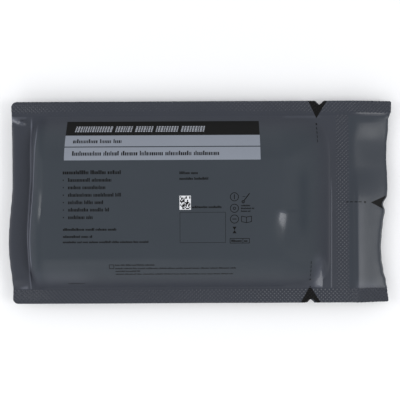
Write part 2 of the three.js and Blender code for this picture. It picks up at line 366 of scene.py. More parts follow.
# A fold in the film is a soft crest or valley along a smooth line. It runs along x or y from
# start to end through the given offsets. It has a width before the line and one after it, a
# sharpness of its section, a lift, and a length over which it fades past its ends. A width, the
# lift and the fade may each be a pair, for the start and the end.
Fold = namedtuple("Fold", "runs start end offsets before after sharp lift fade")
first_crease = (-131.9, -132.5, -132.6, -133.9, -135.2, -134.3, -132.8)
second_crease = (-126.6, -128.1, -129.8, -131.2, -132.2, -131.4)
front_folds = [
    # Two creases along the foot of the bandage's folded end.
    Fold("y", 60, -66, first_crease, 0.6, 0.7, 1.5, 0.35, 6),
    Fold("y", 50, -46, second_crease, 0.6, 0.9, 1.5, 0.3, 14),
    # The film falls in past the pack's corner at the tail end.
    Fold("y", -9.0, -17.0, (67.0, 65.2), 6.0, 22.0, 2.0, -2.1, (4.0, 22.0)),
    # Past the bandage's other end, the dents and crests of the slack film.
    Fold("y", 8, -8, (80.0, 79.6), 4.0, 4.0, 2.0, -0.3, 22),
    Fold("y", 8, -16, (89.3, 89.1), 4.0, 4.0, 2.0, -0.2, 22),
    Fold("y", 40, -14, (98.2, 98.0), 3.4, 3.2, 2.0, 0.25, 24),
    # The straight edge of the inner wrap, printing through beside the cross seal.
    Fold("y", 8, -67, (101.8, 101.4), 0.45, 0.45, 2.0, 0.25, 3),
    # The valley at the foot of the near slope.
    Fold("x", -124, 62, (-66.6, -66.4, -66.4), 1.0, 1.8, 2.0, -0.5, 8),
]
# The tail's raised panel, the dip beside it, and the dome near the far seal.
tail_facet = Fold("y", 2, -90, (121.6, 122.0, 122.4, 122.0), 7.0, (21.0, 15.0), 1.6, 2.0, 26)
tail_dip = Fold("x", 134, 150, (49.0, 49.0), 20.0, 14.0, 2.0, -1.0, (18.0, 8.0))
tail_dome = Fold("y", 61, 59.5, (131.0, 131.0), 11.0, 10.0, 2.0, 0.5, (6.0, 13.0))

# A facet is a patch of film pulled flat and shiny. Its patch is a fold. It is a plane with a slope
# each way, hinged to the film about it at one place.
Facet = namedtuple("Facet", "patch hinge_x hinge_y slope_x slope_y")
facets = [
    # The pleat between the fold and the far seal.
    Facet(
        Fold("x", -147.4, -140.0, (64.3, 63.4, 62.4), (3.2, 1.8), (3.2, 1.8), 5.0, 1.0, (2.0, 5.0)),
        -146.0, 64.0, 0.37, 0.06,
    ),
    # A small spot on the bandage's folded end.
    Facet(Fold("y", -5.2, -8.2, (-121.9, -121.9), 1.3, 1.3, 2.0, 1.0, 2.5), -121.9, -6.7, 0.41, -0.04),
    # The foot of the pack's corner at the near seal.
    Facet(
        Fold("y", -55.0, -66.0, (93.9, 93.9), (5.0, 10.0), 2.6, 2.5, 1.0, (13.0, 3.0)),
        94.4, -64.0, -0.266, 0.004,
    ),
]

# Where the film is drawn tight it shines, and where it is slack or crumpled it is dull. Here a
# fold's lift is how tight the film is.
facet_shine = 2.7
shines = [facet.patch._replace(lift=facet_shine) for facet in facets] + [
    # The wall at the bandage's folded end is dull, with a bright streak up its middle.
    Fold("y", 70, -70, (-126.8, -127.2, -127.8, -128.0, -127.0), 6.6, 8.0, 4.0, -2.6, 2),
    Fold("y", 2, -10, (-122.0, -122.2), 1.8, 1.8, 2.0, 3.2, (12.0, 8.0)),
    # So is the slack film past the other end, down to the dent with its bright wedge.
    Fold("y", 50, -50, (80.0, 80.0), 19.0, 19.0, 6.0, -1.2, 12),
    Fold("y", 14, -14, (78.5, 78.5), 5.0, 5.0, 2.0, -1.5, 18),
    Fold("y", -9, -20, (61.8, 62.8), (4.5, 2.0), (3.4, 2.6), 3.0, (3.0, 1.8), (4.0, 9.0)),
    # The inner wrap's edge shines, and the foot of the pack's corner a little less than its facet.
    Fold("y", 8, -67, (101.8, 101.4), 1.0, 1.0, 2.0, 1.0, 6),
    Fold("y", -57, -67, (93.0, 93.0), 7.0, 6.0, 4.0, -1.3, 6),
]
dullest, tightest = -3, 1.9
seal_shine = 1.3
cross_shine = 0.8
tail_shine = 0.85

# The film is paler where it has been creased hard or stretched, and the same pale colour is painted
# in as light: glints, highlight lines along creases and edges, a sheen on the near slope, and light
# in the creases' shaded valleys. Here a fold's lift is how pale.
creases_and_painted_light = [
    # The two creases: pale where the film was creased hard, with painted highlight lines and painted
    # light in their shaded valleys.
    Fold("y", 60, -66, first_crease, 0.5, 0.5, 2.0, (0.6, 0.35), 8),
    Fold("y", 50, -46, second_crease, 0.5, 0.5, 2.0, (0.5, 0.95), (12.0, 6.0)),
    # Painted glints at the corner of the margin at the far seal, and along its pleat.
    Fold("x", -148, -137, (66.7, 66.6), 0.45, 0.45, 2.0, 0.8, 2),
    Fold("x", -147.5, -138, (65.4, 64.3, 63.1, 62.0, 61.3), (1.9, 1.1), (1.9, 1.1), 2.0, 0.3, 3),
    Fold("x", -147.5, -144, (65.2, 64.4), 1.6, 1.6, 2.0, 0.3, (1.0, 5.0)),
    # A painted sheen on the near slope, and painted highlights on the wedge and the foot of the pack's
    # corner.
    Fold("x", -126, -98, (-58.5, -58.5), 5.0, 8.0, 2.0, 0.08, (5.0, 20.0)),
    Fold("y", -9, -10, (61.6, 61.6), 3.0, 2.8, 2.0, 0.3, (3.5, 12.0)),
    Fold("y", -62, -66, (92.4, 92.4), 4.7, 3.2, 2.0, (0.3, 0.45), (22.0, 1.0)),
    Fold("y", -46, -62, (90.5, 92.2), 4.5, 3.5, 2.0, (0.12, 0.04), (9.0, 4.0)),
    # Painted highlights on the tail's panel, along its left edge and at its foot.
    Fold("y", -4, -62, (123.6, 124.2), 1.5, 3.5, 2.0, 0.07, 6),
    Fold("x", 124, 136, (-67.3, -67.3), 3.0, 5.0, 2.0, 0.22, (5.0, 9.0)),
    # A painted glint at the other corner of the margin, and painted highlight lines along the far seal's
    # edge and the inner wrap's edge.
    Fold("x", -139.6, -136, (-66.9, -66.9), 0.5, (0.8, 1.8), 2.0, 0.55, (3.0, 1.5)),
    Fold("x", 68, 90, (66.6, 66.6), 0.45, 0.45, 2.0, 0.4, 6),
    Fold("y", 8, -67, (101.8, 101.4), 0.4, 0.4, 2.0, 0.25, 14),
]
rim_curl = 0.7
curl_reach = 1.3
side_blend = 1.3
cross_blend = 2.5
mouth_blend = 1.6
dome_share_below = 0.5


def through(stations, offsets, at):
    """A smooth line through the offsets, with the slopes of its neighbours at each station."""
    slopes = np.gradient(offsets, stations)
    gap = stations[1] - stations[0]
    after = np.clip(((at - stations[0]) / gap).astype(int), 0, len(offsets) - 2)
    t = np.clip((at - stations[after]) / gap, 0, 1)
    a, b = np.asarray(offsets)[after], np.asarray(offsets)[after + 1]
    bend = t * (1 - t) * ((1 - t) * slopes[after] - t * slopes[after + 1]) * gap
    return mix(a, b, ease(t)) + bend


def between(pair, way):
    """A value, or for a pair what it comes to on the way from a fold's start to its end."""
    first, last = pair if isinstance(pair, tuple) else (pair, pair)
    return mix(first, last, way)


def fold_lift(fold, x, y):
    """A fold's lift at each place, which fades out past the fold's two ends."""
    along, place = (x, y) if fold.runs == "x" else (y, x)
    stations = np.linspace(fold.start, fold.end, len(fold.offsets))
    beside = place - through(stations, fold.offsets, along)
    way = np.clip((along - fold.start) / (fold.end - fold.start), 0, 1)
    width = np.where(beside < 0, between(fold.before, way), between(fold.after, way))
    lowest, highest = sorted((fold.start, fold.end))
    past = np.maximum(np.maximum(lowest - along, along - highest), 0)
    faded = 1 - ease(past / between(fold.fade, way))
    return between(fold.lift, way) * faded * np.exp(-np.abs(beside / width) ** fold.sharp)


def tightness(x, y):
    """How tight the front of the film is drawn: 0 where it lies plainly on the bandage."""
    return np.clip(sum(fold_lift(fold, x, y) for fold in shines), dullest, tightest)


def crease_and_light_paleness(x, y):
    """How pale the film is: from hard creases, and from the painted glints, highlights and sheen."""
    return np.clip(sum(fold_lift(fold, x, y) for fold in creases_and_painted_light), 0, 1)


def undulation(x, y):
    """The faint unevenness of film drawn tight over padding."""
    broad = 0.10 * np.sin(x / 17 + 0.6 * np.sin(y / 21)) * np.sin(y / 13 + 0.8)
    fine = 0.03 * np.sin(x / 6.1 + y / 9.7) * np.sin(y / 5.3 - x / 19)
    return broad + fine


def front_form(x, y):
    """The outer face of the front leaf over the pack, without its facets."""
    level = seal_plane(x, y) + weld / 2 + swell(x, y)
    along = np.clip(1 - ((2 * x - pack_low[0] - pack_high[0]) / (pack_high[0] - pack_low[0])) ** 2, 0, 1)
    top = film_over_pack + crown_rise * along * np.clip(1 - (y / seal_inner) ** 2, 0, 1)
    full = fullness(x, y)
    lift = sum(fold_lift(fold, x, y) for fold in front_folds) + undulation(x, y) * full
    return mix(level, top, full) + lift * off_seals(x, y, side_blend, cross_blend)


def front(x, y):
    """The outer face of the front leaf."""
    if x.min() < cross_inner:
        height = front_form(x, y)
        inside = off_seals(x, y, side_blend, cross_blend)
        for facet in facets:
            hinge = front_form(np.array([facet.hinge_x]), np.array([facet.hinge_y]))[0]
            plane = hinge + facet.slope_x * (x - facet.hinge_x) + facet.slope_y * (y - facet.hinge_y)
            height = mix(height, plane, fold_lift(facet.patch, x, y) * inside)
        return height
    level = seal_plane(x, y) + weld / 2
    curl = rim_curl * np.exp(-np.abs(tail_end(y) - x) / curl_reach)
    lift = fold_lift(tail_dome, x, y) - curl + mouth_gap
    return level + lift * off_seals(x, y, mouth_blend, tail_rise)


def back(x, y):
    """The outer face of the back leaf, which lies flat on the table under the bandage."""
    level = seal_plane(x, y) - weld / 2 - swell(x, y)
    if x.min() < cross_inner:
        return mix(level, 0, fullness(x, y))
    drop = dome_share_below * fold_lift(tail_dome, x, y) + mouth_gap
    return level - drop * off_seals(x, y, mouth_blend, tail_rise)


# The film's finish: a dark slate laminate with a satin face, faintly mottled, with the light
# orange-peel of film that has been drawn over padding. It looks a little greener where the bandage
# backs it, and paler where it is creased hard; that pale colour also paints glints, highlights and
# a sheen in.
film_colour = (0.0333, 0.0376, 0.0495, 1)
film_shade = (0.0293, 0.0336, 0.0445, 1)
backed_cast = (0.945, 1.05, 1.0, 1)
# The pale colour of hard creases, also used to paint in glints, highlights and sheen.
crease_and_light_colour = (0.175, 0.185, 0.225, 1)
sheen_tint = (0.86, 0.86, 1.0, 1)
film_sheen = 0.06
film_gloss = 0.3
slack_roughness = 0.43
drawn_roughness = 0.28
mottle_scale = 38.0
haze_scale = 120.0
haze_depth = 0.08
peel_scale = 900.0


def film_material(name, colour, shade, gloss, roughness, tight_roughness, sheen=0.0):
    """A satin film or ink, mottled between two colours, that shines more where it is drawn tight, and is
    paler at hard creases and at painted glints, highlights and sheen.
    """
    material = bpy.data.materials.new(name)
    tree = ShaderTree(material)
    place = tree.node("ShaderNodeTexCoord").out("Object")
    tint = tree.blend(tree.noise(place, mottle_scale, 4.0), shade, colour)
    tint = tree.blend(tree.mark("backed"), tint, backed_cast, "MULTIPLY")
    # Paler at hard creases, and at painted glints, highlights and sheen.
    tint = tree.blend(tree.mark("scuffed"), tint, crease_and_light_colour)
    haze = tree.noise(place, haze_scale, 5.0)
    orange_peel = tree.noise(place, peel_scale, 2.0)
    least = roughness - haze_depth / 2
    rough = tree.mark("tight") * (tight_roughness - roughness) + haze * haze_depth + least
    tree.surface({
        "Base Color": tint,
        "Roughness": rough,
        "Specular IOR Level": gloss,
        "Normal": tree.bump(orange_peel, 0.08, 0.0002),
        "Sheen Weight": sheen,
        "Sheen Roughness": 0.4,
        "Sheen Tint": sheen_tint,
    })
    return material


film_finish = (film_gloss, slack_roughness, drawn_roughness, film_sheen)
film = film_material("slate_film", film_colour, film_shade, *film_finish)


# The bandage: a padded dressing laid in four layers, folded to and fro across the pouch. It is
# one long pad of knitted cloth, as thick as a quarter of the pack's height at each place.
layers = 4
layer_gap = 0.7
clearance = 0.7
bend = 0.07
bend_steps = 8
runs_across = 14
stations_along = 60
side_stand_in = 1.5
end_stand_in = 1
pad_half = (pack_high[1] - pack_low[1]) / 2 - side_stand_in
pad_corner = 14.0
sharp_angle = math.radians(40)


def serpentine():
    """The pad's section as (across, layer) pairs from -1 to 1 and 0 to layers, round its outline."""
    gap = layer_gap / ((pack_high[2] - pack_low[2]) / layers)
    upper, lower = [], []
    for i in range(layers):
        way = 1 if i % 2 == 0 else -1
        for t in np.linspace(-1 + bend, 1 - bend, runs_across):
            upper.append((way * t, i + 1 - gap / 2))
            lower.append((way * t, i + gap / 2))
        if i == layers - 1:
            break
        for t in np.linspace(0, math.pi, bend_steps + 2)[1:-1]:
            turn, rise = math.sin(t), math.cos(t)
            lower.append((way * (1 - bend + bend * turn), i + 1 - (1 - gap / 2) * rise))
            upper.append((way * (1 - bend - bend * 0.6 + bend * 0.3 * turn), i + 1 - gap / 2 * rise))
    # Odd layers swap their upper and lower faces, because the pad turns over at each bend.
    first, second = [], []
    at = 0
    for i in range(layers):
        stretch = runs_across + (bend_steps if i < layers - 1 else 0)
        faces = (upper, lower) if i % 2 == 0 else (lower, upper)
        first += faces[0][at:at + stretch]
        second += faces[1][at:at + stretch]
        at += stretch
    return first + second[::-1]


def write_mesh(name, points, faces, material):
    """A smooth-shaded mesh from points in millimetres, with its normals turned out."""
    mesh = bpy.data.meshes.new(name)
    mesh.from_pydata((np.asarray(points) * MM).tolist(), [], faces)
    work = bmesh.new()
    work.from_mesh(mesh)
    bmesh.ops.recalc_face_normals(work, faces=work.faces)
    work.to_mesh(mesh)
    work.free()
    mesh.shade_smooth()
    mesh.set_sharp_from_angle(angle=sharp_angle)
    mesh.materials.append(material)
    return add_object(name, mesh)


section = np.array(serpentine())
pad_points = []
for share in np.linspace(0, 1, stations_along):
    way = (1 - math.cos(math.pi * share)) / 2
    x = mix(pack_low[0] + end_stand_in, pack_high[0] - end_stand_in, way)
    from_end = min(x - pack_low[0], pack_high[0] - x)
    round_in = pad_corner - math.sqrt(max(pad_corner**2 - max(pad_corner - from_end, 0) ** 2, 0))
    across = section[:, 0] * (pad_half - round_in)
    xs = np.full(len(across), x)
    floor = back(xs, across) + film_thickness + clearance
    ceiling = front(xs, across) - film_thickness - clearance
    heights = mix(floor, ceiling, section[:, 1] / layers)
    pad_points.append(np.stack([xs, across, heights], axis=1))
round_pad = len(section)
pad_faces = [
    (start + j, start + (j + 1) % round_pad, start + round_pad + (j + 1) % round_pad, start + round_pad + j)
    for start in range(0, (stations_along - 1) * round_pad, round_pad)
    for j in range(round_pad)
]
for end in (0, (stations_along - 1) * round_pad):
    last = end + round_pad - 1
    pad_faces += [(end + j, end + j + 1, last - 1 - j, last - j) for j in range(round_pad // 2 - 1)]

cloth_colour = (0.8, 0.77, 0.69, 1)
cloth_shade = (0.62, 0.58, 0.5, 1)
cloth = bpy.data.materials.new("knitted_cloth")
tree = ShaderTree(cloth)
place = tree.node("ShaderNodeTexCoord").out("Object")
rib_sockets = {"Vector": place, "Scale": 160.0, "Distortion": 1.5}
rib = tree.node("ShaderNodeTexWave", {"bands_direction": "X"}, rib_sockets).out("Fac")
lint = tree.noise(place, 500.0, 4.0)
knit = rib * 0.7 + lint * 0.3
tree.surface({
    "Base Color": tree.blend(knit, cloth_shade, cloth_colour),
    "Roughness": lint * 0.1 + 0.88,
    "Sheen Weight": 0.3,
    "Normal": tree.bump(knit, 0.6, 0.0004),
})
bandage = write_mesh("bandage", np.concatenate(pad_points), pad_faces, cloth)
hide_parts("folded_bandage")
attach(bandage, "root")


# The two leaves over and under the bandage. Each is a closed shell of film on a grid whose lines
# follow the bowed fold, and the two meet round the fold's nose.
web_length = cross_inner - fold_x
web_width = 2 * seal_inner
front_lines, front_step = 290, 1.25
back_lines, back_step = 130, 1.9
nose_step = 0.11
nose_length = 4
nose_opening = 1.2
backing_edge = 1.4


def grid_faces(rows, columns, offset=0):
    a = np.arange(rows - 1)[:, None] * columns + np.arange(columns - 1)[None, :] + offset
    return np.stack([a, a + columns, a + columns + 1, a + 1], axis=-1).reshape(-1, 4)


def leaf(name, x, y, top, bottom, marks):
    """A closed shell of film between two skins over one grid of places, with marks for its finish."""
    rows, columns = x.shape
    size = rows * columns
    skins = [np.stack([x.ravel(), y.ravel(), z.ravel()], axis=1) for z in (top, bottom)]
    index = np.arange(size).reshape(rows, columns)
    rim = np.concatenate([index[0, :-1], index[:-1, -1], index[-1, :0:-1], index[:0:-1, 0]])
    after = np.roll(rim, -1)
    walls = np.stack([rim, after, after + size, rim + size], axis=1)
    faces = np.concatenate([grid_faces(rows, columns), grid_faces(rows, columns, size)[:, ::-1], walls])
    made = write_mesh(name, np.concatenate(skins), faces.tolist(), film)
    for key, at in marks.items():
        values = np.tile(np.broadcast_to(at, x.shape).ravel(), 2)
        made.data.attributes.new(key, "FLOAT", "POINT").data.foreach_set("value", values)
    return made


def graded(first, last, count, close_places):
    """Places from first to last, that lie some times closer together within reach of a few of them."""
    even = np.linspace(first, last, 4000)
    near = [(place.times - 1) * np.exp(-((even - place.x) / place.reach) ** 4) for place in close_places]
    summed = np.cumsum(1 + sum(near))
    return np.interp(np.linspace(summed[0], summed[-1], count), summed, even)


def web_grid(along, step):
    """Places over the pack, close together round the fold's nose, from its edge to the cross seal."""
    nose = np.arange(0, 1, nose_step) ** 2 * nose_length
    along = np.concatenate([nose, along])
    across = np.linspace(-seal_inner, seal_inner, round(2 * seal_inner / step) + 1)
    share, y = np.meshgrid(along / web_length, across, indexing="ij")
    return mix(fold_end(y), cross_inner, share), y


# Lines lie close where creases run: at the bandage's folded end and beside the cross seal. A close
# place is so far from the fold, has a reach, and has its lines so many times closer.
Close = namedtuple("Close", "x reach times")
close_places = [
    Close(17, 4.2, 6), Close(27, 5, 2), Close(213, 5, 2), Close(242, 6, 2), Close(251.7, 1.6, 6),
]
x, y = web_grid(graded(nose_length, web_length, front_lines, close_places), front_step)
face = front(x, y)
opened = ease(beside_fold(x, y) / nose_opening)
lower_face = mix(seal_plane(x, y), face - film_thickness, opened)
backed = ease(backing_edge * fullness(x, y))
# The pale marks are crease whitening and painted glints, highlights and sheen.
marks = {"tight": tightness(x, y), "scuffed": crease_and_light_paleness(x, y), "backed": backed}
front_film = leaf("front_film", x, y, face, lower_face, marks)
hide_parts("front_leaf")
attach(front_film, "root")

x, y = web_grid(np.linspace(nose_length, web_length, back_lines), back_step)
face = back(x, y)
opened = ease(beside_fold(x, y) / nose_opening)
back_film = leaf("back_film", x, y, mix(seal_plane(x, y), face + film_thickness, opened), face, {})
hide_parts("back_leaf")
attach(back_film, "root")

# The tail's two leaves, which aren't sealed to each other past the cross seal. The back one stands
# out by a hair's breadth, so that its edge shows.
tail_step = 0.9
tail_backing = 0.6
tail_lip, lip_reach = 0.5, 12
across = np.linspace(-seal_inner, seal_inner, round(2 * seal_inner / tail_step) + 1)
share, y = np.meshgrid(np.linspace(0, 1, round(tail_length / tail_step) + 1), across, indexing="ij")
x = mix(cross_outer, tail_end(y), share)
face = front(x, y)
# On the tail the pale marks are painted highlights on its panel.
tail_marks = {"tight": tail_shine, "backed": tail_backing, "scuffed": crease_and_light_paleness(x, y)}
front_tail = leaf("front_tail", x, y, face, face - film_thickness, tail_marks)
tail_offset = tail_lip * ease((seal_inner - np.abs(y)) / lip_reach)
x = mix(cross_outer, tail_end(y) + tail_offset, share)
face = back(x, y)
back_tail = leaf("back_tail", x, y, face + film_thickness, face, tail_marks)
for tail in (front_tail, back_tail):
    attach(tail, "root")


# The heat seals. Knurled jaws press the two leaves into one along both sides and across, and
# leave rows of small pyramids at 45 degrees to the seal.
knurl_pitch = 3.05
knurl_depth = 0.3
seal_step = 0.5
side_notch = {"half": 3.9, "depth": 2.9}
jaw_edge = 0.5
hard_from, hard_reach = 108, 24
end_force, tail_corner_force = 0.6, 1.2
bead_width = 0.4
bead_reach = 5
far_notch_x = cross_inner - 13.4
near_notch_x = cross_inner - 19.8
plain_strip = 2.6
bead_rise = 0.3


def side_edge(x, side):
    """The pouch's sealed side at a place along it, with its tear notch."""
    notch_x = far_notch_x if side > 0 else near_notch_x
    return side * (half_width - side_notch["depth"] * notch_profile((x - notch_x) / side_notch["half"]))


def press(x, y):
    """How hard the jaws press at a place: about 1 on the knurl and 0 off the seals.

    They press harder towards the side seals' ends, and hardest at the near seal's tail end. Along
    the cross seal they press harder towards its far end.
    """
    far = ease((y - seal_inner - plain_strip) / jaw_edge)
    near = ease((-y - seal_inner) / jaw_edge)
    across = ease((x - cross_inner) / jaw_edge) * ease((cross_outer - x) / jaw_edge)
    inside = ease((seal_inner - np.abs(y)) / jaw_edge + 1)
    towards_end = ease((np.abs(x) - hard_from) / hard_reach)
    side_force = 1.0 + np.where((x > 0) & (y < 0), tail_corner_force, end_force) * towards_end
    way = y / seal_inner
    cross_force = 0.9 + 0.2 * way + 0.2 * way**2
    return np.maximum(np.maximum(far, near) * side_force, across * inside * cross_force)


def knurl_tree():
    """Geometry nodes that press the knurl into whatever carries the attribute press."""
    tree = FormTree("knurl", {"Pitch": knurl_pitch, "Depth": knurl_depth})
    place = tree.node("GeometryNodeInputPosition").out(0)
    parts = tree.node("ShaderNodeSeparateXYZ", None, [place])
    turn = tree.calc("DIVIDE", 2 * math.pi, tree.given.out("Pitch"))
    wave = tree.calc("COSINE", parts.out("X") * turn) * tree.calc("COSINE", parts.out("Y") * turn)
    lift = wave * tree.given.out("Depth") * tree.attribute("press", "FLOAT")
    offset = tree.node("ShaderNodeCombineXYZ", None, {"Z": lift}).out(0)
    sockets = {"Geometry": tree.given.out("Geometry"), "Offset": offset}
    return tree.give(tree.node("GeometryNodeSetPosition", None, sockets))


knurl = knurl_tree()


def run_tree(piece, group, inputs):
    """Gives a piece a geometry nodes tree, sets its inputs, and keeps the result as a plain mesh."""
    modifier = piece.modifiers.new(group.name, "NODES")
    modifier.node_group = group
    for item in group.interface.items_tree:
        if item.in_out == "INPUT" and item.name in inputs:
            modifier[item.identifier] = inputs[item.name]
    graph = bpy.context.evaluated_depsgraph_get()
    result = bpy.data.meshes.new_from_object(piece.evaluated_get(graph))
    result.name = piece.name
    piece.modifiers.remove(modifier)
    piece.data = result


def knurled(piece, material):
    """Presses the knurl into a piece wherever it lies on a seal."""
    places = np.empty(len(piece.data.vertices) * 3)
    piece.data.vertices.foreach_get("co", places)
    places = places.reshape(-1, 3) / MM
    attribute = piece.data.attributes.new("press", "FLOAT", "POINT")
    attribute.data.foreach_set("value", press(places[:, 0], places[:, 1]))
    run_tree(piece, knurl, {"Material": material})
    piece.data.attributes.remove(piece.data.attributes["press"])


def bead(x, y):
    """The line that the far jaw leaves along its knurl at the tail."""
    line = np.exp(-((y - seal_inner - plain_strip + 0.3) / bead_width) ** 2)
    return bead_rise * line * ease((x - cross_outer) / bead_reach)


def seal(name, x, y, shine):
    level = seal_plane(x, y)
    made = leaf(name, x, y, level + weld / 2 + bead(x, y), level - weld / 2, {"tight": shine})
    knurled(made, film)
    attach(made, "root")
    return made


for name, side in (("far_seal", 1), ("near_seal", -1)):
    shares = np.linspace(0, 1, round((tail_x - fold_x) / seal_step) + 1)
    depths = np.linspace(0, 1, round(side_seal / seal_step) + 1)
    share, depth = np.meshgrid(shares, depths, indexing="ij")
    nominal = mix(fold_x, tail_x, share)
    y = mix(side * seal_inner, side_edge(nominal, side), depth)
    x = mix(fold_end(y), tail_end(y), share)
    seal(name, x, y, seal_shine)
across = np.linspace(-seal_inner, seal_inner, round(2 * seal_inner / seal_step) + 1)
along = np.linspace(cross_inner, cross_outer, round(cross_seal / seal_step) + 1)
x, y = np.meshgrid(along, across, indexing="ij")
seal("cross_seal", x, y, cross_shine)


# The print. It is laid on the flat web before the pouch is formed, so it follows the film: first
# the header and its two pale bands, then the dark marks on them and round them.
ink_lift = 0.05
tear_lift = ink_lift * 1.8
mark_lift = ink_lift * 2
ink_thickness = 0.04
ink_cell = 1.2
hair = 1e-4


def ink_layer(name, outlines, lift, material, cell=ink_cell):
    """A thin closed layer of ink that follows the front of the film, cut from outlines in plan."""
    work = bmesh.new()
    for outline in outlines:
        work.faces.new([work.verts.new((px, py, 0)) for px, py in outline])
    bmesh.ops.triangulate(work, faces=work.faces)
    places = np.array([v.co[:2] for v in work.verts])
    for axis in (0, 1):
        normal = Vector((1 - axis, axis, 0))
        lines = np.arange(math.ceil(places[:, axis].min() / cell), places[:, axis].max() / cell)
        for line in lines:
            geometry = work.verts[:] + work.edges[:] + work.faces[:]
            bmesh.ops.bisect_plane(work, geom=geometry, plane_co=normal * line * cell, plane_no=normal)
    bmesh.ops.remove_doubles(work, verts=work.verts, dist=hair)
    bmesh.ops.dissolve_degenerate(work, edges=work.edges, dist=hair)
    bmesh.ops.triangulate(work, faces=work.faces)
    work.verts.index_update()
    places = np.array([v.co[:2] for v in work.verts])
    heights = web_top(places[:, 0], places[:, 1]) + lift
    count = len(places)
    skins = [np.column_stack([places, heights - drop]) for drop in (0, ink_thickness)]
    faces = [[v.index for v in face.verts] for face in work.faces]
    under = [[v + count for v in reversed(face)] for face in faces]
    rims = []
    for edge in work.edges:
        if len(edge.link_faces) == 1:
            loop = edge.link_loops[0]
            a, b = loop.vert.index, loop.link_loop_next.vert.index
            rims.append([b, a, a + count, b + count])
    work.free()
    made = write_mesh(name, np.concatenate(skins), faces + under + rims, material)
    knurled(made, material)
    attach(made, "root")


def web_top(x, y):
    """The outer face of the front of the web, over the seals as well."""
    on_seal = (np.abs(y) > seal_inner) | ((x > cross_inner) & (x < cross_outer))
    inner = np.empty_like(x)
    for part in (x <= cross_inner, x > cross_inner):
        if part.any():
            inner[part] = front(x[part], y[part])
    return np.where(on_seal, seal_plane(x, y) + weld / 2 + bead(x, y), inner)


def box_outline(left, right, top, bottom):
    return [(left, bottom), (right, bottom), (right, top), (left, top)]


def ring(cx, cy, outer, inner, sides=20):
    """A ring as a row of four-sided outlines."""
    turns = np.linspace(0, 2 * math.pi, sides + 1)
    rim = [(math.cos(t), math.sin(t)) for t in turns]
    return [
        [(cx + r * c, cy + r * s) for r, (c, s) in ((inner, a), (outer, a), (outer, b), (inner, b))]
        for a, b in zip(rim, rim[1:])
    ]


def bar(x0, y0, x1, y1, width):
    """A straight stroke between two places."""
    length = math.hypot(x1 - x0, y1 - y0)
    across = (width / 2 * (y0 - y1) / length, width / 2 * (x1 - x0) / length)
    return [
        (x0 - across[0], y0 - across[1]), (x1 - across[0], y1 - across[1]),
        (x1 + across[0], y1 + across[1]), (x0 + across[0], y0 + across[1]),
    ]


def frame_of(left, right, top, bottom, width):
    return [
        bar(left, top, right, top, width), bar(left, bottom, right, bottom, width),
        bar(left, bottom, left, top, width), bar(right, bottom, right, top, width),
    ]


# Each ink has its colour, its shade, its gloss, and its roughness where slack and where tight.
black_ink = film_material("black_ink", (0.006, 0.006, 0.006, 1), (0.005, 0.005, 0.005, 1), 0.09, 0.4, 0.3)
pale_ink = film_material("pale_ink", (0.23, 0.25, 0.29, 1), (0.215, 0.235, 0.275, 1), 0.2, 0.4, 0.4)
white_ink = film_material("white_ink", (0.72, 0.73, 0.75, 1), (0.66, 0.67, 0.69, 1), 0.2, 0.4, 0.4)
silver_ink = film_material("silver_ink", (0.31, 0.325, 0.36, 1), (0.28, 0.295, 0.33, 1), 0.2, 0.4, 0.4)

label_left, label_right = -103.5, 45.3
label_top, header_foot, divider, label_foot = 63.0, 51.5, 42.4, 32.1
divider_width = 0.8
header = box_outline(label_left, label_right, label_top, header_foot)
upper_band = box_outline(label_left, label_right, header_foot, divider + divider_width / 2)
lower_band = box_outline(label_left, label_right, divider - divider_width / 2, label_foot)
ink_layer("label_header", [header], ink_lift, black_ink)
ink_layer("label_bands", [upper_band, lower_band], ink_lift, pale_ink)

# The tear marks: a black triangle round each notch, with a dot and a row of dashes leading in.
far_mark = {"left": 84.2, "right": 98.7, "tip": (90.5, 65.2)}
near_mark = {"left": 77.7, "right": 93.1, "tip": (84.9, 65.6)}
tail_mark = {"low": -6.2, "high": 4.6, "tip": (133.0, -0.8)}
edge_stand_in = 0.15
tear_marks = []
for side, mark in ((1, far_mark), (-1, near_mark)):
    along = np.linspace(mark["right"], mark["left"], 41)
    edge = side_edge(along, side) - side * edge_stand_in
    outline = list(zip(along, edge)) + [(mark["tip"][0], side * mark["tip"][1])]
    tear_marks.append(outline if side > 0 else outline[::-1])
across = np.linspace(tail_mark["low"], tail_mark["high"], 31)
tear_marks.append(list(zip(tail_end(across) - edge_stand_in, across)) + [tail_mark["tip"]])
ink_layer("tear_marks", tear_marks, tear_lift, black_ink, cell=0.5)

# Plain pictograms at the right of the print: rings, an hourglass, a thermometer, a book, a box.
sign_x, second_sign_x = 25.3, 34.4
sign_ring = (3.35, 2.85)
signs = []
for cy in (4.0, -4.7, -12.8):
    signs += ring(sign_x, cy, *sign_ring)
signs.append(bar(sign_x, 2.2, sign_x, 5.8, 0.6))
signs += ring(sign_x, -4.7, 1.2, 0.7, 12)
signs.append(bar(sign_x - 1.6, -12.8, sign_x + 1.6, -12.8, 0.6))
for tip, foot in ((-21.1, -18.6), (-21.1, -23.6)):
    signs.append([(sign_x, tip), (sign_x - 1.5, foot), (sign_x + 1.5, foot)][:: 1 if foot < tip else -1])
signs.append(bar(second_sign_x - 2.2, 0.6, second_sign_x + 2.4, 6.6, 0.7))
signs += ring(second_sign_x - 2.5, 0.2, 1.2, 0.5, 12)
signs.append(bar(second_sign_x - 3.0, 4.2, second_sign_x - 0.9, 4.2, 0.35))
for lean in (-1, 1):
    page_x = second_sign_x + lean * 3.8
    signs.append(bar(second_sign_x, -11.4, page_x, -10.6, 0.45))
    signs.append(bar(second_sign_x, -15.6, page_x, -14.8, 0.45))
    signs.append(bar(page_x, -14.8, page_x, -10.6, 0.45))
signs.append(bar(second_sign_x, -15.6, second_sign_x, -11.4, 0.45))
signs += frame_of(21.9, 36.6, -27.5, -31.0, 0.4)
signs.append(bar(31.6, -31.0, 31.6, -27.5, 0.4))
signs += frame_of(-15.9, 18.5, -7.6, -30.5, 0.22)
signs += frame_of(-69.8, -66.4, -47.2, -50.2, 0.4)
ink_layer("signs", signs, ink_lift, black_ink)

